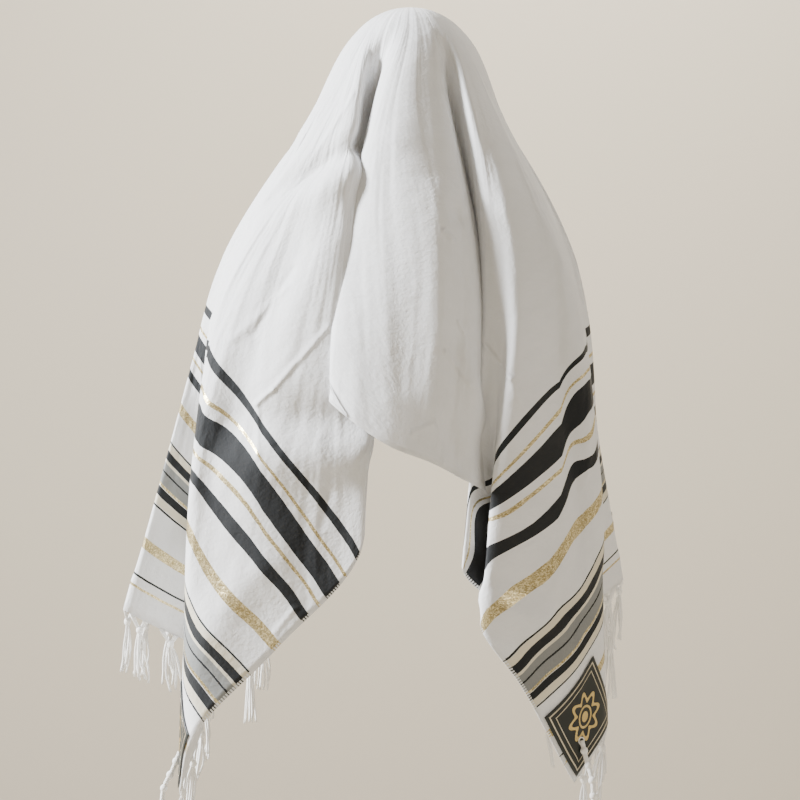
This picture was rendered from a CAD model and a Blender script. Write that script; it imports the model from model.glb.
# %% [markdown]
# # Tallit prayer shawl
#
# A striped rectangular prayer shawl, hanging in folds from its rounded crown, hollow and open
# at the front.  A maker weaves the striped rectangle, hems its long sides, knots fringe into
# its short ends, and sews a satin patch with an eyelet and a long tassel on each corner.
# The cells below follow those steps.  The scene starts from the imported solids, so every piece
# is made in their frame and takes the place of one of them.

# %% Set up
from collections import namedtuple
from functools import partial
from math import pi, radians

import bpy
import numpy as np
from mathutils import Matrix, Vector


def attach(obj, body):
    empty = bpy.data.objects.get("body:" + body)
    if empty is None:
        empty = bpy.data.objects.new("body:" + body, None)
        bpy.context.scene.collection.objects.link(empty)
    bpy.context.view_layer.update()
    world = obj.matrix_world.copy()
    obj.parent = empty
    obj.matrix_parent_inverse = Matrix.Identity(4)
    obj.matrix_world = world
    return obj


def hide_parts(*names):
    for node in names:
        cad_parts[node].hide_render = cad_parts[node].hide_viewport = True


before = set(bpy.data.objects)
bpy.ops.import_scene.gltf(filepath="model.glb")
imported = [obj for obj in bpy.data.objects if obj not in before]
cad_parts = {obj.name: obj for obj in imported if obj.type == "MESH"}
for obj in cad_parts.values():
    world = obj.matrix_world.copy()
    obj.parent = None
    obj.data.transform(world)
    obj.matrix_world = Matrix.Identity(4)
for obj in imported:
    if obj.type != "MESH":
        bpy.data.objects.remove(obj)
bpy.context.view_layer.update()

MM = 0.001
rng = np.random.default_rng(7146)
print("solids:", ", ".join(sorted(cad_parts)))

# %% [markdown]
# ## How the cloth hangs
#
# One woven rectangle makes the whole shawl, folded only by the way it hangs.  A cloth
# simulation could drape such a sheet, but its folds would fall where they like.  Here each
# fold is placed by hand, so that it can match the real one: lines run from the crown to the
# border, like the ribs of a fan, and each row says where such a line ends on the flat cloth
# and where it hangs.  The same rows shape the solids; here each line may also bow sideways on
# the flat cloth, which turns the stripes as seen.

# %% Fold lines
HALF_LENGTH = 0.900
BACK_WIDTH = 0.620
FRONT_WIDTH = 0.180
WALL = 0.0012
CROWN_RADIUS = 0.100
CROWN_SIDE = 0.94
CROWN_DEPTH = 1.08
CROWN_REACHES = (0.0, 0.030, 0.060, 0.090)
EAR_REACH = 0.200
SHOULDER_REACH = 0.450
ELBOW_REACH = 0.700
BOW_TO_PEAK = 6.75
TINY = 1e-12

Fold = namedtuple("Fold", "name u v crown ear shoulder elbow end bow", defaults=[0])

# u, v: where the line ends on the flat cloth, in mm.  crown: its direction there, 0 at the
# back and negative to the left.  ear, shoulder, elbow: where it hangs after 200, 450 and
# 700 mm of cloth.  end: where it hangs at the border.  bow: how far it bends, if it does.
FOLDS = [Fold(*row) for row in (
    ("brow", 0, 180, 180, None, None, None, (0, 119, -117)),
    ("brow_left", -100, 180, -150, None, None, None, (-74, 97, -141)),
    ("temple_left", -200, 180, -132, (-94, 52, -135), None, None, (-101, 66, -202)),
    ("cheek_left", -300, 180, -121, (-112, 34, -138), None, None, (-108, 68, -284)),
    ("collar_left", -450, 180, -112, (-94, 18, -142), None, None, (-130, 112, -418)),
    ("chest_left", -600, 180, -106, (-100, 4, -142), (-158, 98, -366), None, (-166, 152, -540)),
    ("front_edge_left", -750, 180, -102, (-114, -8, -141), (-184, 86, -358), None, (-178, 168, -682)),
    ("front_corner_left", -900, 180, -98, (-121, -18, -141), (-202, 70, -354), (-204, 130, -600),
     (-178, 172, -812)),
    ("front_wave_left", -900, 20, -90, (-124, -28, -141), (-206, 30, -350), (-258, 76, -580),
     (-306, 112, -796)),
    ("flute_left", -900, -140, -82, (-125, -38, -140), (-241, -6, -338), (-307, 0, -555), (-364, 0, -770)),
    ("gap_left", -900, -230, -75, (-124, -47, -140), (-234, -28, -342), (-272, 8, -580), (-300, 30, -806)),
    ("hollow_left", -900, -310, -71, (-123, -55, -139), (-229, -44, -342), (-240, -12, -590),
     (-246, 40, -826)),
    ("inner_left", -900, -380, -67, (-122, -62, -138), (-238, -62, -343), (-266, -50, -600),
     (-284, 2, -842)),
    ("valley_left", -900, -440, -63, (-120, -67, -138), (-226, -78, -342), (-242, -84, -600),
     (-264, -26, -864), 20),
    ("back_corner_left", -900, -620, -57, (-117, -74, -137), (-226, -98, -340), (-262, -158, -575),
     (-280, -152, -979), 60),
    ("back_edge_left", -800, -620, -54, (-112, -83, -135), (-222, -118, -336), (-258, -182, -568),
     (-262, -206, -908), 100),
    ("panel_left", -650, -620, -47, (-95, -100, -132), (-165, -165, -350), (-176, -206, -604),
     (-160, -224, -796), 60),
    ("ridge_left", -490, -620, -39, (-64, -120, -128), (-74, -190, -366), (-58, -216, -606),
     (-60, -226, -682), 20),
    ("tuck_left", -360, -620, -31, (-56, -97, -132), (-28, -160, -372), None, (-50, -190, -548)),
    ("fold_left", -270, -620, -24, (-44, -79, -140), (18, -122, -376), None, (36, -168, -556)),
    ("centre_left", -50, -620, -10, (-43, -118, -132), (-83, -184, -366), None, (-96, -224, -502)),
    ("centre_ridge", 20, -620, -1, (-18, -137, -136), (-22, -224, -372), None, (-22, -252, -556)),
    ("centre", 80, -620, 9, (12, -134, -137), (30, -211, -374), None, (24, -244, -574)),
    ("centre_right", 150, -620, 19, (42, -121, -136), (70, -196, -378), None, (66, -231, -596)),
    ("fold_right", 320, -620, 29, (52, -86, -142), (100, -128, -384), None, (110, -118, -634)),
    ("ridge_right", 530, -620, 39, (72, -119, -130), (91, -182, -372), (72, -216, -606), (63, -228, -706)),
    ("tuck_right", 600, -620, 43, (80, -111, -130), (110, -196, -368), (101, -190, -612),
     (104, -190, -752)),
    ("pleat_right", 640, -620, 46, (86, -106, -131), (124, -205, -366), (97, -226, -610),
     (83, -233, -766)),
    ("panel_right", 740, -620, 50, (98, -92, -132), (168, -171, -356), (182, -196, -590),
     (130, -226, -838)),
    ("back_corner_right", 900, -620, 55, (104, -80, -134), (192, -141, -346), (212, -172, -572),
     (195, -200, -957)),
    ("back_edge_right", 900, -530, 60, (109, -68, -135), (203, -106, -337), (226, -142, -562),
     (236, -164, -896)),
    ("valley_right", 900, -380, 66, (113, -52, -137), (204, -72, -344), (204, -70, -590),
     (168, -56, -872)),
    ("inner_right", 900, -260, 73, (115, -40, -138), (214, -48, -348), (236, -32, -594), (236, -22, -822)),
    ("gap_right", 900, -180, 78, (116, -30, -139), (208, -26, -350), (228, 4, -590), (220, 28, -794)),
    ("flute_right", 900, -80, 84, (117, -20, -140), (217, -6, -348), (252, 52, -560), (281, 100, -736)),
    ("front_wave_right", 900, 50, 93, (114, -12, -141), (196, 44, -350), (214, 112, -588),
     (206, 150, -806)),
    ("front_corner_right", 900, 180, 101, (110, -5, -141), (198, 80, -348), (252, 136, -552),
     (286, 176, -748)),
    ("front_edge_right", 750, 180, 104, (106, 2, -141), (186, 92, -346), None, (246, 170, -610)),
    ("chest_right", 600, 180, 107, (98, 10, -141), (168, 104, -352), None, (198, 160, -482)),
    ("collar_right", 450, 180, 112, (94, 22, -142), None, None, (136, 118, -400)),
    ("cheek_right", 300, 180, 121, (110, 38, -138), None, None, (105, 68, -284)),
    ("temple_right", 200, 180, 132, (92, 55, -135), None, None, (98, 66, -202)),
    ("brow_right", 100, 180, 150, None, None, None, (73, 97, -141)),
)]
ROW = {fold.name: index for index, fold in enumerate(FOLDS)}
print("fold lines:", len(FOLDS))

# %% [markdown]
# ## From fold lines to a cloth
#
# Real cloth bends smoothly from fold to fold.  A subdivided cage would round it too, but
# would shrink away from its lines.  So each fold line is a smooth cubic through its stations,
# and cubic curves across the lines fill in the cloth between them, with their slopes weighted
# to the nearer neighbour so that close folds make no loop.  A fine grid keeps the hem even;
# its steps are about 10 mm.

# %% Cloth grid
RINGS = 94
RING_CROWDING = 1.25
BORDER_STEP = 0.0104
FEWEST_STEPS = 5
CORNER_START = 0.40
CORNER_FULL = 0.62
CORNER_SHARPNESS = 0.9
SHORTEST_SPAN = 1e-6


def cubic(start, slope_start, finish, slope_finish, t):
    """Cubic from start to finish with the given slopes, at t from 0 to 1."""
    return (start * (2 * t**3 - 3 * t**2 + 1) + slope_start * (t**3 - 2 * t**2 + t)
            + finish * (3 * t**2 - 2 * t**3) + slope_finish * (t**3 - t**2))


def curve_through(knots, points, where):
    """Smooth curve through points: a cubic in each span, whose slope at a point is the
    mean of its two neighbours' slopes, each weighted by the other's length."""
    knots = np.asarray(knots, float)
    points = np.asarray(points, float)
    span = np.diff(knots)
    rise = np.diff(points, axis=0) / span[:, None]
    slope = np.vstack([rise[:1], rise[-1:] * np.ones((len(points) - 1, 1))])
    weight = span[1:] + span[:-1]
    slope[1:-1] = (rise[:-1] * span[1:, None] + rise[1:] * span[:-1, None]) / weight[:, None]
    index = np.clip(np.searchsorted(knots, where, side="right") - 1, 0, len(span) - 1)
    width = span[index][:, None]
    t = (where - knots[index])[:, None] / width
    return cubic(points[index], slope[index] * width, points[index + 1], slope[index + 1] * width, t)


def crown_point(direction, reach):
    """Where a line lies on the rounded crown: it turns over a sphere's arc, as far out as
    the arc's sine and as far down as its cosine."""
    turn = radians(direction)
    out = CROWN_RADIUS * np.sin(reach / CROWN_RADIUS)
    fall = CROWN_RADIUS * (np.cos(reach / CROWN_RADIUS) - 1)
    return (CROWN_SIDE * out * np.sin(turn), -CROWN_DEPTH * out * np.cos(turn), fall)


def fold_line(fold, parts):
    """Places along one fold line, at the given parts of its flat length."""
    length = MM * float(np.hypot(fold.u, fold.v))
    reaches = list(CROWN_REACHES)
    points = [crown_point(fold.crown, reach) for reach in CROWN_REACHES]
    stations = ((EAR_REACH, fold.ear), (SHOULDER_REACH, fold.shoulder), (ELBOW_REACH, fold.elbow))
    for reach, place in stations + ((length, fold.end),):
        if place is not None:
            reaches.append(reach)
            points.append([MM * value for value in place])
    return curve_through(reaches, points, parts * length)


def flat_line(fold, parts):
    """Flat places along one fold line: straight to its end, plus a sideways bow of
    6.75 s (1-s)^2, which is 1 a third of the way out and dies away at the hem."""
    end = MM * np.array([fold.u, fold.v], float)
    side = np.array([end[1], -end[0]]) / np.linalg.norm(end)
    side = side * np.sign(side[1] + TINY)
    bulge = MM * fold.bow * BOW_TO_PEAK * parts * (1 - parts) ** 2
    return parts[:, None] * end + bulge[:, None] * side


parts = (np.arange(1, RINGS + 1) / RINGS) ** RING_CROWDING
lines = np.array([fold_line(fold, parts) for fold in FOLDS])
flat_lines = np.array([flat_line(fold, parts) for fold in FOLDS])
ends = flat_lines[:, -1]
edge_lengths = np.linalg.norm(np.roll(ends, -1, axis=0) - ends, axis=1)
steps = np.maximum(FEWEST_STEPS, np.round(edge_lengths / BORDER_STEP).astype(int))
first_column = np.concatenate([[0], np.cumsum(steps)])
COLUMNS = int(first_column[-1])
of_fold = np.repeat(np.arange(len(FOLDS)), steps)
share = (np.arange(COLUMNS) - first_column[of_fold]) / steps[of_fold]
following = (of_fold + 1) % len(FOLDS)

span = np.linalg.norm(np.roll(lines, -1, axis=0) - lines, axis=2, keepdims=True) + SHORTEST_SPAN
rise = (np.roll(lines, -1, axis=0) - lines) / span
before = np.roll(span, 1, axis=0)
slope = (np.roll(rise, 1, axis=0) * span + rise * before) / (span + before)
# A corner of the cloth turns sharply on the flat, so near the hem each side of it keeps its
# own slope, or the stripes would crowd together there.
at_corner = np.array([fold.name.startswith(("back_corner", "front_corner")) for fold in FOLDS])
t = np.clip((parts - CORNER_START) / (CORNER_FULL - CORNER_START), 0, 1)
sharp = CORNER_SHARPNESS * at_corner[:, None, None] * (t * t * (3 - 2 * t))[None, :, None]
slope_after = slope * (1 - sharp) + rise * sharp
slope_before = slope * (1 - sharp) + np.roll(rise, 1, axis=0) * sharp
across = share[:, None, None]
sheet_points = cubic(lines[of_fold], slope_after[of_fold] * span[of_fold],
                     lines[following], slope_before[following] * span[of_fold], across)
sheet_flat = flat_lines[of_fold] * (1 - across) + flat_lines[following] * across
print("cloth grid:", RINGS, "rings by", COLUMNS, "columns")

# %% [markdown]
# ## Where the stripes run
#
# Real cloth slides and stretches on the bias as it is pulled about, so its stripes don't
# follow the fold lines exactly.  Moving the folds to suit them would spoil the outline, so
# the stripes alone are moved.  Each row takes those near one place a little further from the
# middle line, as far as the photo shows; beyond its bell nothing moves.

# %% Stripe shifts
Shift = namedtuple("Shift", "name side u v lean wide_u wide_v shift")
SHIFTS = [Shift(*row) for row in (
    ("left_panel", -1, 520, -455, 1.0, 75, 90, 25),
    ("left_edge", -1, 565, -375, 0.6, 55, 35, -12),
    ("right_panel", 1, 505, -400, 0.9, 90, 120, 50),
    ("right_pleat", 1, 495, -540, 0.0, 75, 40, 48),
    ("right_edge", 1, 740, -450, 0.0, 80, 70, -12),
    ("left_inner", -1, 488, -495, 0.3, 38, 85, 9),
    ("left_hem", -1, 600, -620, 0.0, 80, 25, -7),
    ("left_low", -1, 720, -585, 0.0, 55, 45, 8),
    ("right_inner", 1, 455, -375, 0.0, 30, 55, 17),
    ("right_middle", 1, 565, -518, 0.0, 38, 45, -19),
    ("right_outer", 1, 621, -482, 0.0, 32, 50, 15),
    ("right_hem", 1, 700, -620, 0.0, 80, 25, -12),
    ("right_turn", 1, 764, -528, 0.0, 50, 90, -13),
    ("right_shoulder", 1, 550, -385, 0.0, 50, 25, -10),
    ("right_pleat_side", 1, 512, -455, 0.0, 25, 45, -7),
)]


def stripe_shift(flat, row):
    """How far a row moves the stripes: exp(-a^2 - b^2), where a is how far along the cloth
    a place is from the bell's middle and b how far across, which leans with a."""
    reach = row.side * flat[..., 0] - MM * row.u
    across_reach = flat[..., 1] - MM * row.v + row.lean * reach
    bell = np.exp(-np.square(reach / (MM * row.wide_u)) - np.square(across_reach / (MM * row.wide_v)))
    return row.side * MM * row.shift * bell


stripe_place = sheet_flat.copy()
stripe_place[..., 0] += sum(stripe_shift(sheet_flat, row) for row in SHIFTS)
print("stripe shifts:", len(SHIFTS))

# %% [markdown]
# ## Creases
#
# The large folds come from the lines above, but thin cloth has many smaller ones.  A noise
# texture would spread them evenly, as real ones never are, so they are laid on the flat cloth
# by hand, one row each: soft troughs (negative) and ridges (positive) that run from one flat
# place to another, bowed by a little, wider and deeper as in the photo on the side that is
# seen, and of the same kind on the sides that are not.

# %% Creases
CREASE_STRENGTH = 1.8
CREASE_FIRST_WIDTH = 0.7
CREASE_WIDENING = 0.6
CALM_UNTIL = 0.12
CALM_FADE = 0.1
Crease = namedtuple("Crease", "name u v to_u to_v bend width depth")
CREASES = [Crease(*row) for row in (
    ("brim_pull_left", -90, -250, -330, -150, 12, 16, -5.0),
    ("brim_pull_left_ridge", -70, -290, -330, -200, 12, 18, 4.0),
    ("left_panel_pull", -280, -560, -520, -380, 14, 20, -4.5),
    ("left_panel_pull_ridge", -320, -590, -560, -420, 14, 24, 4.0),
    ("left_panel_long", -300, -250, -690, -560, 24, 26, -4.0),
    ("left_panel_long_ridge", -260, -270, -620, -590, 24, 30, 3.5),
    ("left_edge_long", -340, -160, -800, -500, 20, 22, -4.0),
    ("left_panel_low", -560, -540, -780, -590, 8, 22, 3.0),
    ("left_shoulder", -220, -80, -470, -190, 10, 18, -4.0),
    ("left_shoulder_low", -250, -40, -560, -120, 10, 20, 3.5),
    ("centre_soft", 10, -260, 30, -560, 8, 26, -4.5),
    ("centre_soft_ridge", 50, -300, 90, -600, 8, 24, 4.0),
    ("centre_left_edge", -30, -300, -40, -600, 5, 18, 3.5),
    ("centre_hem", 90, -570, 150, -610, 4, 12, -4.0),
    ("centre_low", 100, -490, 180, -560, 6, 14, 4.0),
    ("centre_pucker", 66, -330, 88, -350, 2, 8, -3.0),
    ("right_long", 250, -250, 690, -480, 22, 26, -4.5),
    ("right_long_ridge", 280, -220, 730, -430, 22, 28, 4.0),
    ("right_panel_pull", 600, -560, 760, -500, 8, 18, -4.0),
    ("right_panel_low", 560, -600, 700, -560, 6, 16, 3.0),
    ("right_edge_long", 300, -170, 830, -400, 20, 24, -4.0),
    ("right_shoulder", 200, -60, 470, -160, 10, 18, -4.0),
    ("right_shoulder_low", 230, -10, 560, -80, 10, 20, 3.5),
    ("left_front_long", -300, 60, -760, 110, 12, 24, -4.5),
    ("left_front_low", -420, 120, -800, 40, 10, 22, 4.0),
    ("right_front_long", 300, 60, 760, 110, 12, 24, -4.5),
    ("right_front_low", 430, 130, 820, 60, 10, 22, 4.0),
    ("right_flute", 420, -40, 860, -60, 10, 20, -3.5),
    ("left_flute", -420, -60, -860, -110, 10, 20, -3.5),
    ("brow_left", -60, 120, -200, 100, 6, 14, -2.5),
    ("brow_right", 60, 110, 210, 100, 6, 14, -2.5),
)]


def crease_height(flat, row):
    """How far a crease moves the cloth out: its depth, times a bell across its line,
    exp(-(side/width)^2), times a fade of t^0.5 (1-t)^0.5 at its ends, doubled."""
    start = MM * np.array([row.u, row.v])
    along = MM * np.array([row.to_u, row.to_v]) - start
    length = np.linalg.norm(along)
    reach = flat - start
    t = np.clip(reach @ along / length**2, 0, 1)
    side = (reach[..., 0] * along[1] - reach[..., 1] * along[0]) / length
    side = side - MM * row.bend * 4 * t * (1 - t)
    past = np.linalg.norm(reach - t[..., None] * along, axis=-1)
    width = MM * row.width * (CREASE_FIRST_WIDTH + CREASE_WIDENING * t)
    bell = np.exp(-np.square(np.hypot(side, past * ((t == 0) | (t == 1))) / width))
    return CREASE_STRENGTH * MM * row.depth * bell * 2 * np.sqrt(t * (1 - t))


def grid_normals(points):
    """Outward directions on the grid: across a column and along a line, crossed."""
    around = np.roll(points, -1, axis=0) - np.roll(points, 1, axis=0)
    down = np.gradient(points, axis=1)
    normal = np.cross(down, around)
    return normal / (np.linalg.norm(normal, axis=2, keepdims=True) + TINY)


normals = grid_normals(sheet_points)
if normals[COLUMNS // 2, RINGS // 4, 1] > 0:
    normals = -normals
height = sum(crease_height(sheet_flat, row) for row in CREASES)
calm = np.clip((parts - CALM_UNTIL) / CALM_FADE, 0, 1)[None, :]
sheet_points = sheet_points + (WALL + height * calm)[..., None] * normals
normals = grid_normals(sheet_points) * np.sign(np.sum(normals * grid_normals(sheet_points)))
print("creases:", len(CREASES), "| deepest", round(float(height.min()) * 1000, 1), "mm")

# %% [markdown]
# ## Meshes from arrays
#
# Every piece is worked out as arrays of points, and put into a mesh at once, which is far
# quicker than adding vertices one by one.  Smooth shading suits cloth and thread; a Solidify
# gives the cloth its woven thickness, so that its edges don't look like paper.

# %% Mesh helpers
STEEP = 0.8


def make_piece(name, points, faces, material, slot, uv_maps=(), solid=None):
    """A named piece from points and faces; each UV map holds a flat place for every point,
    and solid is the thickness that the sheet gets towards its inner side."""
    mesh = bpy.data.meshes.new(name)
    mesh.from_pydata(np.asarray(points).tolist(), [], [list(face) for face in faces])
    mesh.polygons.foreach_set("use_smooth", np.ones(len(mesh.polygons), bool))
    corner = np.zeros(len(mesh.loops), np.int32)
    mesh.loops.foreach_get("vertex_index", corner)
    for title, uv in uv_maps:
        layer = mesh.uv_layers.new(name=title)
        layer.data.foreach_set("uv", np.asarray(uv, np.float32)[corner].ravel())
    mesh.materials.append(material)
    mesh.update()
    piece = bpy.data.objects.new(name, mesh)
    bpy.context.scene.collection.objects.link(piece)
    if solid is not None:
        wall = piece.modifiers.new("wall", "SOLIDIFY")
        wall.thickness = solid
        wall.offset = -1.0
    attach(piece, "root")
    return piece


def grid_faces(rows, columns, wrap_columns=False):
    """Four corners for each cell of a grid of points numbered row by row."""
    row = np.arange(rows - 1)[:, None]
    column = np.arange(columns if wrap_columns else columns - 1)[None, :]
    row_on = row + 1
    column_on = (column + 1) % columns
    corners = [row * columns + column, row * columns + column_on,
               row_on * columns + column_on, row_on * columns + column]
    size = (row.size, column.size)
    return np.stack([np.broadcast_to(corner, size) for corner in corners], -1).reshape(-1, 4)


def tubes(paths, radius, sides=5):
    """Points and faces of round threads along paths.  paths is (threads, steps, 3); radius
    is one value, or one for every step.  A ring's points are the path plus radius times the
    cosine and sine of even turns, along two directions square to the path."""
    paths = np.asarray(paths, float)
    threads, count = paths.shape[:2]
    along = np.gradient(paths, axis=1)
    along /= np.linalg.norm(along, axis=2, keepdims=True) + TINY
    guide = np.where(np.abs(along[..., 1:2]) < STEEP, (0.0, 1.0, 0.0), (1.0, 0.0, 0.0))
    side = np.cross(along, guide)
    side /= np.linalg.norm(side, axis=2, keepdims=True)
    other = np.cross(along, side)
    turn = 2 * pi * np.arange(sides) / sides
    ring = side[:, :, None] * np.cos(turn)[:, None] + other[:, :, None] * np.sin(turn)[:, None]
    thick = np.broadcast_to(np.asarray(radius, float), (count,))[None, :, None, None]
    points = (paths[:, :, None] + thick * ring).reshape(-1, 3)
    one = grid_faces(count, sides, wrap_columns=True)[:, ::-1]
    faces = (one[None] + (np.arange(threads) * count * sides)[:, None, None]).reshape(-1, 4).tolist()
    caps = np.arange(sides)[None] + (np.arange(threads) * count * sides)[:, None]
    faces += caps.tolist()
    faces += (caps[:, ::-1] + (count - 1) * sides).tolist()
    return points, faces


def join_parts(parts_list):
    """Points and faces of several parts as one."""
    points, faces, count = [], [], 0
    for part_points, part_faces in parts_list:
        points.append(part_points)
        faces += [[index + count for index in face] for face in part_faces]
        count += len(part_points)
    return np.vstack(points), faces


print("helpers ready")

# %% [markdown]
# ## The woven cloth's look
#
# The stripes are woven in, so they belong to the cloth's own flat place, not to its shape:
# each is a band at a set distance from the middle line.  A painted image could hold them, but
# bands that the material works out stay sharp from close by.  Black and grey bands are plain
# yarn, the gold ones a metallic yarn that glitters, and all of it is thin enough for light
# to pass through the white.

# %% Stripes
Stripe = namedtuple("Stripe", "yarn centre width")
STRIPES = [Stripe(*row) for row in (
    ("black", 495.0, 11.0),
    ("gold", 524.0, 4.0),
    ("black", 547.0, 25.0),
    ("gold", 571.0, 4.0),
    ("black", 593.0, 12.0),
    ("gold", 643.0, 14.0),
    ("black", 690.0, 2.5),
    ("pale", 696.0, 9.0),
    ("black", 706.0, 11.0),
    ("pale", 713.5, 3.6),
    ("grey", 720.0, 9.4),
    ("black", 726.0, 2.5),
    ("grey", 733.8, 13.0),
    ("gold", 742.0, 3.4),
    ("black", 750.0, 11.0),
    ("pale", 761.0, 10.5),
    ("black", 768.0, 2.5),
    ("gold", 816.0, 13.0),
    ("black", 854.0, 2.5),
    ("gold", 867.0, 3.0),
)]
YARN = {
    "black": (0.016, 0.018, 0.021, 1),
    "grey": (0.27, 0.28, 0.28, 1),
    "gold_low": (0.40, 0.31, 0.14, 1),
    "gold_high": (0.95, 0.84, 0.52, 1),
    "pale": (0.76, 0.71, 0.58, 1),
}
WHITE = (0.86, 0.87, 0.89, 1)
print("stripes on each side:", len(STRIPES))

# %% [markdown]
# ## Fine creases
#
# Cloth that has been pinched keeps sharp creases, too fine for the mesh.  Finer faces could
# hold them, at many times their number, so the surface shows them as relief instead: from one
# flat place to another, in mm, how wide, and how high against the weave.

# %% Fine creases
Pinch = namedtuple("Pinch", "name u v to_u to_v width height")
PINCHES = [Pinch(*row) for row in (
    ("left_upper", -340, -366, -436, -390, 3.5, 1.6),
    ("left_kink", -436, -390, -465, -390, 3.5, 1.8),
    ("left_lower", -465, -392, -497, -440, 5.0, 1.0),
    ("left_high", -358, -296, -449, -309, 6.0, 1.0),
    ("left_high_beside", -336, -282, -424, -318, 5.0, -0.9),
    ("left_low", -467, -517, -502, -545, 6.0, -1.0),
    ("left_hem", -596, -602, -634, -606, 4.0, 0.9),
    ("left_temple", -150, -130, -252, -158, 6.0, 1.0),
    ("left_shoulder", -216, -176, -298, -170, 6.0, -0.8),
    ("right_upper", 317, -392, 404, -388, 3.5, 1.3),
    ("right_lower", 404, -388, 464, -415, 3.5, 1.4),
    ("right_soft", 330, -262, 420, -352, 9.0, -1.2),
    ("centre_crease", 80, -506, 124, -526, 4.0, 1.3),
    ("centre_small", 92, -470, 103, -477, 3.0, 1.0),
    ("centre_pucker", 60, -371, 71, -377, 4.0, 1.4),
    ("centre_bottom", 48, -597, 76, -581, 3.5, 1.2),
    ("curl_top", -78, -590, -56, -588, 2.6, 2.0),
    ("curl_side", -56, -588, -22, -617, 2.6, 2.0),
    ("front_left", -420, 60, -530, 88, 5.0, 1.2),
    ("front_right", 430, 70, 545, 58, 5.0, 1.2),
    ("side_left", -560, -118, -655, -190, 5.0, 1.1),
    ("side_right", 555, -150, 650, -214, 5.0, 1.1),
)]
print("fine creases:", len(PINCHES))

# %% [markdown]
# ## Shader nodes
#
# A material is worked out from its piece's own flat places by small sums, and each sum is a
# node.  These helpers add a node, a sum or a blend of colours in a line each, so that a
# material can be read from top to bottom like a recipe.

# %% Node helpers


def set_input(tree, socket, term):
    """Gives a socket a value, or links another node's output to it."""
    if isinstance(term, bpy.types.NodeSocket):
        tree.links.new(term, socket)
    else:
        socket.default_value = term


def add_node(tree, kind, inputs=(), **settings):
    """Adds a shader node, with its inputs by name or number, and its settings."""
    new = tree.nodes.new(kind)
    for name, value in settings.items():
        setattr(new, name, value)
    for name, term in dict(inputs).items():
        set_input(tree, new.inputs[name], term)
    return new


def calculate(tree, operation, *terms):
    """Adds a Math node; each term is a number or another node's output."""
    return add_node(tree, "ShaderNodeMath", enumerate(terms), operation=operation).outputs[0]


def calculate_vector(tree, operation, inputs, output="Vector"):
    """Adds a Vector Math node, with its inputs by name or number."""
    return add_node(tree, "ShaderNodeVectorMath", inputs, operation=operation).outputs[output]


def blend_colour(tree, amount, first, second):
    """Adds a colour Mix node; each colour is a value or another node's output."""
    new = add_node(tree, "ShaderNodeMix", data_type="RGBA")
    for name, term in (("Factor", amount), ("A", first), ("B", second)):
        socket = next(socket for socket in new.inputs if socket.name == name and socket.enabled)
        set_input(tree, socket, term)
    return next(socket for socket in new.outputs if socket.enabled)


def start_material(name):
    """A material with an empty node tree but for its output."""
    made = bpy.data.materials.new(name)
    made.use_nodes = True
    made.node_tree.nodes.clear()
    return made, made.node_tree, made.node_tree.nodes.new("ShaderNodeOutputMaterial")


print("node helpers ready")

# %% [markdown]
# ## Cloth material
#
# A plain matt weave, with metallic stripes and a stitched hem.  Each yarn's stripes are one
# mask, whose edges wander a little, because straight ones would look printed.  The relief
# adds up weave, hem seam, fine creases and long soft wrinkles that run out from the crown.  A
# share of the light goes through, so that the folds glow a little from behind.

# %% Cloth material
STRIPE_DRIFT = 0.0016
HEM_STITCH = 0.0035
STITCH_STEP = 0.0036
STITCH_COVER = 0.35
HEM_SEAM = 0.004
HEM_SEAM_HALF = 0.0007
FINE_YARN = 0.35
WRINKLES_ROUND = 7.0
WRINKLES_ALONG = 2.4
WRINKLES_FULL_AT = 0.45
WRINKLE_HEIGHT = 24.0
RELIEF = {"Strength": 0.85, "Distance": 0.0016}
CLOTH_ROUGHNESS = 0.78
GOLD_SMOOTHER = 0.40
GOLD_METALLIC = 0.7
THROUGH_SHARE = 0.18
GLITTER_CONTRAST = 1.5
DARKEST = 0.95
SLUB_LIGHTER = 0.10


def pinch_height(tree, flat, pinch):
    """Height of a sharp crease: exp(-(distance / width)^2), where distance is how far a
    flat place is from the nearest place of the crease's own line."""
    start = MM * np.array([pinch.u, pinch.v])
    along = MM * np.array([pinch.to_u, pinch.to_v]) - start
    per_length = along / float(along @ along)
    reach = calculate_vector(tree, "SUBTRACT", {0: flat, 1: (*start, 0.0)})
    part = calculate_vector(tree, "DOT_PRODUCT", {0: reach, 1: (*per_length, 0.0)}, "Value")
    part = add_node(tree, "ShaderNodeClamp", {"Value": part}).outputs["Result"]
    foot = calculate_vector(tree, "SCALE", {0: (*along, 0.0), "Scale": part})
    distance = calculate_vector(tree, "DISTANCE", {0: reach, 1: foot}, "Value")
    ratio = calculate(tree, "DIVIDE", distance, MM * pinch.width)
    squared = calculate(tree, "MULTIPLY", ratio, ratio)
    bell = calculate(tree, "EXPONENT", calculate(tree, "MULTIPLY", squared, -1.0))
    return calculate(tree, "MULTIPLY", bell, pinch.height)


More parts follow.
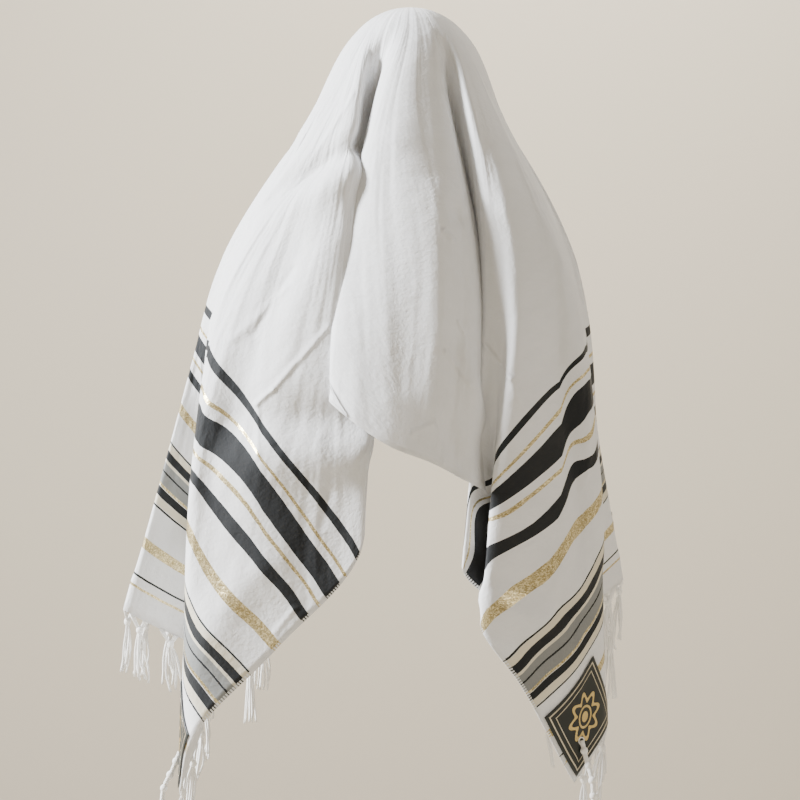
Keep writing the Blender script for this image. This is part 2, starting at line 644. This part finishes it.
def woven_cloth():
    """White cloth with its stripes, a faint weave and a soft sheen."""
    made, tree, output = start_material("woven_cloth")
    maths = partial(calculate, tree)
    flat = add_node(tree, "ShaderNodeUVMap", uv_map="flat_cloth").outputs["UV"]
    place = add_node(tree, "ShaderNodeSeparateXYZ", {"Vector": flat})
    striped = add_node(tree, "ShaderNodeUVMap", uv_map="stripes").outputs["UV"]
    stripe_reach = add_node(tree, "ShaderNodeSeparateXYZ", {"Vector": striped}).outputs["X"]
    wander = add_node(tree, "ShaderNodeTexNoise",
                      {"Scale": 40.0, "Detail": 2.0, "Vector": flat}).outputs["Fac"]
    drift = maths("MULTIPLY", maths("SUBTRACT", wander, 0.5), STRIPE_DRIFT)
    reach = maths("ADD", maths("ABSOLUTE", stripe_reach), drift)
    masks = {}
    for stripe in STRIPES:
        band = maths("COMPARE", reach, MM * stripe.centre, MM * stripe.width / 2)
        others = masks.get(stripe.yarn, 0.0)
        masks[stripe.yarn] = maths("MAXIMUM", others, band)
    glitter = add_node(tree, "ShaderNodeTexVoronoi", {"Scale": 760.0, "Vector": flat})
    sparkle = add_node(tree, "ShaderNodeSeparateColor", {"Color": glitter.outputs["Color"]})
    bright = maths("POWER", sparkle.outputs[0], GLITTER_CONTRAST)
    gold = blend_colour(tree, bright, YARN["gold_low"], YARN["gold_high"])
    colour = blend_colour(tree, masks["grey"], WHITE, YARN["grey"])
    colour = blend_colour(tree, masks["pale"], colour, YARN["pale"])
    colour = blend_colour(tree, masks["gold"], colour, gold)
    colour = blend_colour(tree, masks["black"], colour, YARN["black"])
    back_gap = maths("ADD", place.outputs["Y"], BACK_WIDTH)
    front_gap = maths("SUBTRACT", FRONT_WIDTH, place.outputs["Y"])
    near_edge = maths("LESS_THAN", maths("MINIMUM", back_gap, front_gap), HEM_STITCH)
    stitch = maths("SINE", maths("MULTIPLY", place.outputs["X"], 2 * pi / STITCH_STEP))
    cover = maths("MULTIPLY", near_edge, maths("LESS_THAN", stitch, STITCH_COVER))
    colour = blend_colour(tree, cover, colour, WHITE)
    yarn = add_node(tree, "ShaderNodeTexNoise",
                    {"Scale": 260.0, "Detail": 3.0, "Vector": flat}).outputs["Fac"]
    slub = add_node(tree, "ShaderNodeTexNoise",
                    {"Scale": 55.0, "Detail": 4.0, "Roughness": 0.6, "Vector": flat}).outputs["Fac"]
    relief = maths("ADD", maths("MULTIPLY", yarn, FINE_YARN), slub)
    hem_back = maths("COMPARE", place.outputs["Y"], -BACK_WIDTH + HEM_SEAM, HEM_SEAM_HALF)
    hem_front = maths("COMPARE", place.outputs["Y"], FRONT_WIDTH - HEM_SEAM, HEM_SEAM_HALF)
    hem = maths("MAXIMUM", hem_back, hem_front)
    relief = maths("SUBTRACT", relief, hem)
    for pinch in PINCHES:
        relief = maths("ADD", relief, pinch_height(tree, flat, pinch))
    heading = calculate_vector(tree, "NORMALIZE", {0: flat})
    from_crown = calculate_vector(tree, "LENGTH", {0: flat}, "Value")
    spokes = calculate_vector(tree, "SCALE", {0: heading, "Scale": WRINKLES_ROUND})
    far = maths("MULTIPLY", from_crown, WRINKLES_ALONG)
    outward = add_node(tree, "ShaderNodeCombineXYZ", {"Z": far}).outputs["Vector"]
    streak = calculate_vector(tree, "ADD", {0: spokes, 1: outward})
    wrinkle = add_node(tree, "ShaderNodeTexNoise", {
        "Scale": 1.0, "Detail": 3.0, "Roughness": 0.5, "Distortion": 0.5, "Vector": streak}).outputs["Fac"]
    full = maths("MINIMUM", from_crown, WRINKLES_FULL_AT)
    grown = maths("MULTIPLY", full, WRINKLE_HEIGHT)
    relief = maths("ADD", relief, maths("MULTIPLY", wrinkle, grown))
    bump = add_node(tree, "ShaderNodeBump", {**RELIEF, "Height": relief}).outputs["Normal"]
    shade = maths("ADD", maths("MULTIPLY", slub, SLUB_LIGHTER), DARKEST)
    tint = calculate_vector(tree, "SCALE", {"Vector": colour, "Scale": shade})
    metallic = maths("MULTIPLY", masks["gold"], GOLD_METALLIC)
    smoother = maths("MULTIPLY", masks["gold"], GOLD_SMOOTHER)
    rough = maths("SUBTRACT", CLOTH_ROUGHNESS, smoother)
    front = add_node(tree, "ShaderNodeBsdfPrincipled", {
        "Sheen Weight": 0.25, "Sheen Roughness": 0.5, "Specular IOR Level": 0.25,
        "Base Color": tint, "Metallic": metallic, "Roughness": rough, "Normal": bump})
    through = add_node(tree, "ShaderNodeBsdfTranslucent", {"Color": tint, "Normal": bump})
    both = add_node(tree, "ShaderNodeMixShader",
                    {0: THROUGH_SHARE, 1: front.outputs[0], 2: through.outputs[0]})
    tree.links.new(both.outputs[0], output.inputs["Surface"])
    return made


cloth_material = woven_cloth()
print("cloth material:", len(cloth_material.node_tree.nodes), "nodes")

# %% [markdown]
# ## The cloth
#
# This is the sheet that all other pieces are sewn to.  The grid's rings close over the crown,
# where a small fan of faces fills the last hole.  Its flat places go in as its UV map, in
# metres, so the material finds the stripes wherever the cloth goes.

# %% Cloth piece
top = np.array([[0.0, 0.0, WALL]])
cloth_points = np.vstack([top, np.swapaxes(sheet_points, 0, 1).reshape(-1, 3)])
cloth_uv = np.vstack([[[0.0, 0.0]], np.swapaxes(sheet_flat, 0, 1).reshape(-1, 2)])
stripe_uv = np.vstack([[[0.0, 0.0]], np.swapaxes(stripe_place, 0, 1).reshape(-1, 2)])
column = np.arange(COLUMNS)
cells = 1 + grid_faces(RINGS, COLUMNS, wrap_columns=True)[:, ::-1]
fan = np.stack([np.zeros(COLUMNS, int), 1 + column, 1 + (column + 1) % COLUMNS], 1)
cloth = make_piece("cloth", cloth_points, cells.tolist() + fan.tolist(), cloth_material,
                   "woven_cloth", [("flat_cloth", cloth_uv), ("stripes", stripe_uv)], WALL)
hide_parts("shawl_cloth")
print("cloth faces:", len(cloth.data.polygons))

# %% [markdown]
# ## Corner patches
#
# A patch is a square of black satin sewn over each corner, and it bends as the cloth below it
# does.  A square pressed on with a Shrinkwrap would slip over the folds, so its points are
# the cloth's own, looked up by their flat places and moved out by its thickness.

# %% Places on the cloth
PATCH_SIZE = 0.100
PATCH_INSET = 0.005
PATCH_LIFT = 0.0014
PATCH_WALL = 0.0008
PATCH_CELLS = 32
NEARBY = 0.03

grid_triangles = np.vstack([cells[:, [0, 1, 2]], cells[:, [0, 2, 3]]])
corner_flat = cloth_uv[grid_triangles]
sheet_normals = np.vstack([[[0.0, 0.0, 1.0]], np.swapaxes(normals, 0, 1).reshape(-1, 3)])


def on_cloth(flat):
    """Places and outward directions of the cloth over flat places.  Each is the mean of
    its triangle's corners, weighted by the areas that it cuts the triangle into."""
    flat = np.asarray(flat, float).reshape(-1, 2)
    low, high = flat.min(axis=0) - NEARBY, flat.max(axis=0) + NEARBY
    near = np.all((corner_flat > low) & (corner_flat < high), axis=(1, 2))
    corners, numbers = corner_flat[near], grid_triangles[near]
    side, other = corners[:, 1] - corners[:, 0], corners[:, 2] - corners[:, 0]
    area = side[:, 0] * other[:, 1] - side[:, 1] * other[:, 0]
    reach = flat[:, None] - corners[None, :, 0]
    second = (reach[..., 0] * other[:, 1] - reach[..., 1] * other[:, 0]) / area
    third = (side[:, 0] * reach[..., 1] - side[:, 1] * reach[..., 0]) / area
    shares = np.stack([1 - second - third, second, third], axis=-1)
    best = np.argmax(shares.min(axis=-1), axis=1)
    share = shares[np.arange(len(flat)), best][..., None]
    found = np.sum(share * cloth_points[numbers[best]], axis=1)
    normal = np.sum(share * sheet_normals[numbers[best]], axis=1)
    return found, normal / np.linalg.norm(normal, axis=1, keepdims=True)


print("cloth triangles to look up:", len(grid_triangles))

# %% [markdown]
# ## Patch material
#
# Metallic embroidery on black satin: a plain design of rings and petals inside a double
# beaded border.  Stitches that small would need a heavy mesh, so the material draws them and
# raises them as relief.  Each line has its distance from the patch's middle and half its
# width, in shares of the patch's side; the petals move in and out of theirs.

# %% Patch material
OUTER_BORDER = (0.445, 0.009)
INNER_BORDER = (0.375, 0.006)
PETAL_LINE = (0.235, 0.028)
RING_LINE = (0.125, 0.014)
CORE_RADIUS = 0.065
PETALS = 8.0
PETAL_DEPTH = 0.045
SATIN_BLACK = (0.010, 0.014, 0.013, 1)
BORDER_THREAD = (0.56, 0.50, 0.38, 1)
FIGURE_THREAD = (0.62, 0.46, 0.18, 1)
BEAD_STEEPNESS = 1.5
SATIN_ROUGHNESS = 0.46
THREAD_SMOOTHER = 0.12
THREAD_METALLIC = 0.8


def patch_satin():
    """Black satin with silver and gold embroidery, placed by the patch's own square."""
    made, tree, output = start_material("patch_satin")
    maths = partial(calculate, tree)
    own = add_node(tree, "ShaderNodeUVMap", uv_map="square").outputs["UV"]
    centred = calculate_vector(tree, "SUBTRACT", {0: own, 1: (0.5, 0.5, 0.0)})
    place = add_node(tree, "ShaderNodeSeparateXYZ", {"Vector": centred})
    x, y = place.outputs["X"], place.outputs["Y"]
    square = maths("MAXIMUM", maths("ABSOLUTE", x), maths("ABSOLUTE", y))
    radius = maths("SQRT", maths("ADD", maths("MULTIPLY", x, x), maths("MULTIPLY", y, y)))
    angle = maths("ARCTAN2", y, x)
    wave = maths("COSINE", maths("MULTIPLY", angle, PETALS))
    petals = maths("MULTIPLY", wave, PETAL_DEPTH)
    outer_line = maths("COMPARE", square, *OUTER_BORDER)
    inner_line = maths("COMPARE", square, *INNER_BORDER)
    border = maths("MAXIMUM", outer_line, inner_line)
    petal_line = maths("COMPARE", maths("ADD", radius, petals), *PETAL_LINE)
    core = maths("LESS_THAN", radius, CORE_RADIUS)
    ring = maths("COMPARE", radius, *RING_LINE)
    figure = maths("MAXIMUM", petal_line, maths("MAXIMUM", core, ring))
    bead = add_node(tree, "ShaderNodeTexVoronoi",
                    {"Scale": 42.0, "Randomness": 0.35, "Vector": own}).outputs["Distance"]
    round_bead = maths("SUBTRACT", 1.0, maths("MULTIPLY", bead, BEAD_STEEPNESS))
    thread = maths("MAXIMUM", border, figure)
    shine = maths("MAXIMUM", maths("MULTIPLY", thread, round_bead), 0.0)
    colour = blend_colour(tree, border, SATIN_BLACK, BORDER_THREAD)
    colour = blend_colour(tree, figure, colour, FIGURE_THREAD)
    bump = add_node(tree, "ShaderNodeBump", {"Strength": 0.6, "Distance": 0.0015, "Height": shine})
    smoother = maths("MULTIPLY", thread, THREAD_SMOOTHER)
    rough = maths("SUBTRACT", SATIN_ROUGHNESS, smoother)
    metallic = maths("MULTIPLY", thread, THREAD_METALLIC)
    surface = add_node(tree, "ShaderNodeBsdfPrincipled", {
        "Sheen Weight": 0.1, "Base Color": colour, "Metallic": metallic, "Roughness": rough,
        "Normal": bump.outputs["Normal"]})
    tree.links.new(surface.outputs[0], output.inputs["Surface"])
    return made


satin_material = patch_satin()
print("patch material:", len(satin_material.node_tree.nodes), "nodes")

# %% [markdown]
# ## Patches in place
#
# Each patch is a grid over its own square of the cloth's flat places.  A second square, from
# 0 to 1 both ways, goes in as its UV map and carries the embroidery.

# %% Patches
CORNERS = [(edge, end, side_u, side_v) for end, side_u in (("left", -1), ("right", 1))
           for edge, side_v in (("back", -1), ("front", 1))]


def patch_span(side_u, side_v):
    """Lowest and highest flat place of the square patch at one corner."""
    edge_v = FRONT_WIDTH if side_v > 0 else BACK_WIDTH
    far = np.array([HALF_LENGTH - PATCH_INSET, edge_v - PATCH_INSET]) * (side_u, side_v)
    near = far - PATCH_SIZE * np.array([side_u, side_v])
    return np.minimum(near, far), np.maximum(near, far)


for edge, end, side_u, side_v in CORNERS:
    low, high = patch_span(side_u, side_v)
    own = np.meshgrid(*[np.linspace(0, 1, PATCH_CELLS + 1)] * 2, indexing="ij")
    own = np.stack(own, -1).reshape(-1, 2)
    place, normal = on_cloth(low + own * (high - low))
    patch = make_piece(f"satin_{edge}_{end}", place + PATCH_LIFT * normal,
                       grid_faces(PATCH_CELLS + 1, PATCH_CELLS + 1).tolist(), satin_material,
                       "patch_satin", [("square", own)], PATCH_WALL)
    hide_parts(f"patch_{edge}_{end}")

# %% [markdown]
# ## Thread and knots
#
# The fringe and the tassels are of one matt white yarn.  Each strand is a tube along its
# path, and a knot is a small ball: bevelled curves would look alike, but arrays put a whole
# fringe into one mesh.

# %% Thread
THREAD_RADIUS = 0.0014
THREAD_WHITE = (0.87, 0.865, 0.85, 1)
KNOT_SIDES = 10
KNOT_RINGS = 6


def white_thread():
    """Matt white yarn, a little fuzzy."""
    made, tree, output = start_material("white_thread")
    where = add_node(tree, "ShaderNodeTexCoord").outputs["Object"]
    fuzz = add_node(tree, "ShaderNodeTexNoise",
                    {"Scale": 900.0, "Detail": 2.0, "Vector": where}).outputs["Fac"]
    bump = add_node(tree, "ShaderNodeBump", {"Strength": 0.4, "Distance": 0.0005, "Height": fuzz})
    surface = add_node(tree, "ShaderNodeBsdfPrincipled", {
        "Base Color": THREAD_WHITE, "Roughness": 0.85, "Sheen Weight": 0.3,
        "Normal": bump.outputs["Normal"]})
    tree.links.new(surface.outputs[0], output.inputs["Surface"])
    return made


thread_material = white_thread()


def knots(centres, width, tall):
    """Round knots: a small ball at each centre, from cosines and sines of even turns."""
    around = 2 * pi * np.arange(KNOT_SIDES) / KNOT_SIDES
    rise = pi * np.arange(1, KNOT_RINGS + 1) / (KNOT_RINGS + 1)
    ball = np.stack([width * np.sin(rise)[:, None] * np.cos(around),
                     width * np.sin(rise)[:, None] * np.sin(around),
                     tall * np.cos(rise)[:, None] * np.ones(KNOT_SIDES)], -1).reshape(-1, 3)
    faces = grid_faces(KNOT_RINGS, KNOT_SIDES, wrap_columns=True)[:, ::-1].tolist()
    first, last = list(range(KNOT_SIDES)), list(range(len(ball) - KNOT_SIDES, len(ball)))
    faces += [first, last[::-1]]
    return join_parts([(centre + ball, faces) for centre in centres])


print("thread material:", len(thread_material.node_tree.nodes), "nodes")

# %% [markdown]
# ## Fringe
#
# Threads loop out of the short ends, close up in a knot a little below, and hang in six
# strands.  Copies of one tassel would look stamped, so each tassel's threads are worked out
# together from its place on the border, and stray a little from each other.

# %% Fringe
TASSELS = 15
STRANDS = 6
LOOP_HALF = 0.012
KNOT_DROP = 0.015
FRINGE_LENGTH = 0.080
FRINGE_STEPS = 14
LOOP_STEPS = 3
FRINGE_KNOT = (0.0046, 0.0058)

# How far strands stray: a tassel's sway, with its shares at the knot and the tips, its
# spread at the tips and that spread's error, and each strand's bulge, wave and place in the
# knot.  Loops stand closest together in their middle; lengths and waves are drawn evenly.
SWAY = 0.003
KNOT_SWAY = 0.4
TIP_SWAY = 1.6
LOOP_NEAREST = 0.55
LENGTHS = (0.92, 1.06)
WAVES = (6, 11)
SPREAD = 0.008
SPREAD_ERROR = 0.0016
STRAND_BULGE = 0.0034
STRAND_WAVE = 0.0009
IN_KNOT = 0.0012


def make_fringe(name, first, last):
    """The fringe of one short end, between two fold lines' ends on the border."""
    border = slice(first_column[ROW[first]], first_column[ROW[last]] + 1)
    edge = sheet_points[border, -1] - 0.5 * WALL * normals[border, -1]
    run = np.concatenate([[0], np.cumsum(np.linalg.norm(np.diff(edge, axis=0), axis=1))])
    middle = run[-1] * (np.arange(TASSELS) + 0.5) / TASSELS

    def at(distance):
        return np.stack([np.interp(distance, run, edge[:, axis]) for axis in range(3)], -1)

    offset = (np.arange(STRANDS) - (STRANDS - 1) / 2) / ((STRANDS - 1) / 2)
    sway = rng.normal(0, SWAY, (TASSELS, 3)) * (1, 1, 0)
    knot = at(middle) + sway * KNOT_SWAY + np.array([0, 0, -KNOT_DROP])
    stand = LOOP_NEAREST + (1 - LOOP_NEAREST) * np.abs(offset)
    root = at(middle[:, None] + LOOP_HALF * np.sign(offset) * stand)
    beside = at(middle + LOOP_HALF) - at(middle - LOOP_HALF)
    beside[:, 2] = 0
    beside /= np.linalg.norm(beside, axis=1, keepdims=True)
    length = FRINGE_LENGTH * rng.uniform(*LENGTHS, (TASSELS, STRANDS, 1))
    spread = SPREAD * offset[None, :, None] + rng.normal(0, SPREAD_ERROR, (TASSELS, STRANDS, 1))
    tip = knot[:, None] + spread * beside[:, None] + sway[:, None] * TIP_SWAY
    tip = tip + np.array([0, 0, -1.0]) * (length - KNOT_DROP)
    upper = np.linspace(0, 1, LOOP_STEPS + 1)[:-1][None, None, :, None]
    lower = np.linspace(0, 1, FRINGE_STEPS - LOOP_STEPS)[None, None, :, None]
    down_part = knot[:, None, None] * (1 - lower) + tip[:, :, None] * lower
    bulge = np.sin(pi * lower) * rng.normal(0, STRAND_BULGE, (TASSELS, STRANDS, 1, 3)) * (1, 1, 0.2)
    wave = np.sin(lower * rng.uniform(*WAVES, (TASSELS, STRANDS, 1, 1))) * rng.normal(
        0, STRAND_WAVE, (TASSELS, STRANDS, 1, 3)) * lower
    in_knot = IN_KNOT * offset[None, :, None, None] * beside[:, None, None]
    paths = np.concatenate([root[:, :, None] * (1 - upper) + knot[:, None, None] * upper,
                            down_part + bulge + wave], axis=2) + in_knot
    piece = join_parts([tubes(paths.reshape(-1, FRINGE_STEPS, 3), THREAD_RADIUS),
                        knots(knot, *FRINGE_KNOT)])
    return make_piece(name, *piece, thread_material, "white_thread")


fringes = [make_fringe("fringe_threads_left", "front_corner_left", "back_corner_left"),
           make_fringe("fringe_threads_right", "back_corner_right", "front_corner_right")]
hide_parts("fringe_left")
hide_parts("fringe_right")
print("fringe strands:", 2 * TASSELS * STRANDS)

# %% [markdown]
# ## Corner tassels
#
# Long cords go through an eyelet in each patch.  They are wound and knotted five times in
# their upper part and hang loose below, following the patch down and then falling straight.
# The winding is in the paths of the cords, not a texture, because it shows in the outline.

# %% Corner tassels
EYELET_INSET = 0.030
CORDS = 8
CORD_RADIUS = 0.00125
CORD_LENGTH = 0.165
KNOTTED = 0.085
FIRST_KNOT = 0.012
KNOTS = 5
CORNER_KNOT = (0.0046, 0.0050)
CORD_STEPS = 34
TWIST_PITCH = 0.030
BUNDLE_RADIUS = 0.0019
LOOSE_SPREAD = (0.003, 0.0085)
CORD_CURL = 0.0012
CURLS = (5, 9)
EYELET_RADIUS = 0.0042
EYELET_THREAD = 0.0009
EYELET_LIFT = 0.0020
EYELET_SIDES = 16

# The path of a tassel's core: how far down the patch, out from it, and straight down.
CORE_STOPS = (
    (0.0, 0.0030, 0.0),
    (0.020, 0.010, 0.0),
    (0.046, 0.021, 0.0),
    (0.052, 0.023, 0.020),
    (0.052, 0.023, CORD_LENGTH - 0.050),
)


def make_corner_tassel(name, side_u, side_v):
    """One corner's eyelet, knots and cords."""
    low, high = patch_span(side_u, side_v)
    flat = np.where(np.array([side_u, side_v]) > 0, high - EYELET_INSET, low + EYELET_INSET)
    place, normal = (found[0] for found in on_cloth(flat))
    down = np.array([0, 0, -1.0])
    fall = down - normal * np.dot(down, normal)
    fall /= np.linalg.norm(fall)
    beside = np.cross(normal, fall)
    stops = np.array([place + on_patch * fall + out * normal + drop * down
                      for on_patch, out, drop in CORE_STOPS])
    run = np.concatenate([[0], np.cumsum(np.linalg.norm(np.diff(stops, axis=0), axis=1))])
    where = np.linspace(0, run[-1], CORD_STEPS)
    core = curve_through(run, stops, where)
    along = np.gradient(core, axis=0)
    along /= np.linalg.norm(along, axis=1, keepdims=True)
    side = np.cross(along, beside)
    side /= np.linalg.norm(side, axis=1, keepdims=True)
    other = np.cross(along, side)
    start = 2 * pi * np.arange(CORDS)[:, None] / CORDS
    twist = start + 2 * pi * np.minimum(where, KNOTTED)[None] / TWIST_PITCH
    loose = np.clip((where - KNOTTED) / (run[-1] - KNOTTED), 0, 1)[None]
    bundle = BUNDLE_RADIUS + loose * rng.uniform(*LOOSE_SPREAD, (CORDS, 1))
    paths = (core[None] + (bundle * np.cos(twist))[..., None] * side
             + (bundle * np.sin(twist))[..., None] * other)
    turns = loose * rng.uniform(*CURLS, (CORDS, 1))
    curl = np.sin(turns)[..., None] * rng.normal(0, CORD_CURL, (CORDS, 1, 3))
    paths = paths + curl * loose[..., None]
    knot_runs = np.linspace(FIRST_KNOT, KNOTTED, KNOTS)
    knot_places = np.stack([np.interp(knot_runs, where, core[:, axis]) for axis in range(3)], -1)
    ring_turn = 2 * pi * np.arange(EYELET_SIDES + 1) / EYELET_SIDES
    ring = np.cos(ring_turn)[:, None] * fall + np.sin(ring_turn)[:, None] * beside
    eyelet = place + EYELET_LIFT * normal + EYELET_RADIUS * ring
    piece = join_parts([tubes(paths, CORD_RADIUS), knots(knot_places, *CORNER_KNOT),
                        tubes(eyelet[None], EYELET_THREAD)])
    return make_piece(name, *piece, thread_material, "white_thread")


for edge, end, side_u, side_v in CORNERS:
    tassel = make_corner_tassel(f"cords_{edge}_{end}", side_u, side_v)
    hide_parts(f"tassel_{edge}_{end}")

# %% [markdown]
# ## Sheets
#
# The cut of each sheet of cloth is stated, so that its area can be checked against it.

# %% [markdown]
# ## Stage
#
# A plain pale floor, with a plain backdrop on all four sides, so that the shawl has a ground
# behind it from wherever it is seen.

# %% Stage
STAGE_COLOUR = (0.45, 0.405, 0.33, 1)
STAGE_ROUGHNESS = 0.9
FLOOR_Z = -1.75
WALL_AWAY = 4.2
WALL_TOP = 4.5


def stage_plane(name, corners):
    """A plain pale plane that isn't part of the object."""
    mesh = bpy.data.meshes.new(name)
    mesh.from_pydata(corners, [], [(0, 1, 2, 3)])
    plane = bpy.data.objects.new(name, mesh)
    bpy.context.scene.collection.objects.link(plane)
    pale = bpy.data.materials.new(name)
    pale.use_nodes = True
    shader = pale.node_tree.nodes["Principled BSDF"]
    shader.inputs["Base Color"].default_value = STAGE_COLOUR
    shader.inputs["Roughness"].default_value = STAGE_ROUGHNESS
    mesh.materials.append(pale)


corners = [(-WALL_AWAY, -WALL_AWAY), (WALL_AWAY, -WALL_AWAY),
           (WALL_AWAY, WALL_AWAY), (-WALL_AWAY, WALL_AWAY)]
stage_plane("floor", [(x, y, FLOOR_Z) for x, y in corners])
for number, (here, there) in enumerate(zip(corners, corners[1:] + corners[:1])):
    stage_plane(f"backdrop_{number}", [(*there, FLOOR_Z), (*here, FLOOR_Z),
                                       (*here, WALL_TOP), (*there, WALL_TOP)])
print("stage planes:", 1 + len(corners))

# %% [markdown]
# ## Light
#
# A large soft light from the left, a weak one from the right and one for the backdrop.  A
# large light gives folds soft edges of shade, and one side stays darker to show their depth.

# %% Light
WORLD_COLOUR = (0.98, 0.98, 1.0, 1)
WORLD_STRENGTH = 0.05
Light = namedtuple("Light", "name place target size power colour")
LIGHTS = [Light(*row) for row in (
    ("key", (-3.3, -0.5, 1.3), (0, -0.1, -0.5), 0.7, 720, (0.96, 0.98, 1.0)),
    ("fill", (3.2, -1.6, 1.3), (0, 0, -0.5), 1.4, 44, (1.0, 0.95, 0.88)),
    ("ground", (0.4, 2.2, 2.6), (0.8, 4.2, -0.5), 1.6, 290, (1.0, 0.96, 0.88)),
)]

for row in LIGHTS:
    data = bpy.data.lights.new(row.name, "AREA")
    data.shape = "SQUARE"
    data.size = row.size
    data.energy = row.power
    data.color = row.colour
    light = bpy.data.objects.new(row.name, data)
    light.location = row.place
    facing = Vector(row.target) - Vector(row.place)
    light.rotation_euler = facing.to_track_quat("-Z", "Y").to_euler()
    bpy.context.scene.collection.objects.link(light)

world = bpy.data.worlds.new("studio")
bpy.context.scene.world = world
world.use_nodes = True
world.node_tree.nodes["Background"].inputs["Color"].default_value = WORLD_COLOUR
world.node_tree.nodes["Background"].inputs["Strength"].default_value = WORLD_STRENGTH
print("lights:", len(LIGHTS))

# %% [markdown]
# ## Camera
#
# Level, at the distance and height that match the photo's outline, with a long lens.

# %% Camera
CAMERA_PLACE = (-0.0128, -3.0, -0.5)
SENSOR_MM = 36
LENS_MM = 105.47

camera_data = bpy.data.cameras.new("camera")
camera_data.sensor_width = SENSOR_MM
camera_data.lens = LENS_MM
camera = bpy.data.objects.new("camera", camera_data)
camera.location = CAMERA_PLACE
camera.rotation_euler = (radians(90), 0, 0)
bpy.context.scene.collection.objects.link(camera)
bpy.context.scene.camera = camera
print("camera set")
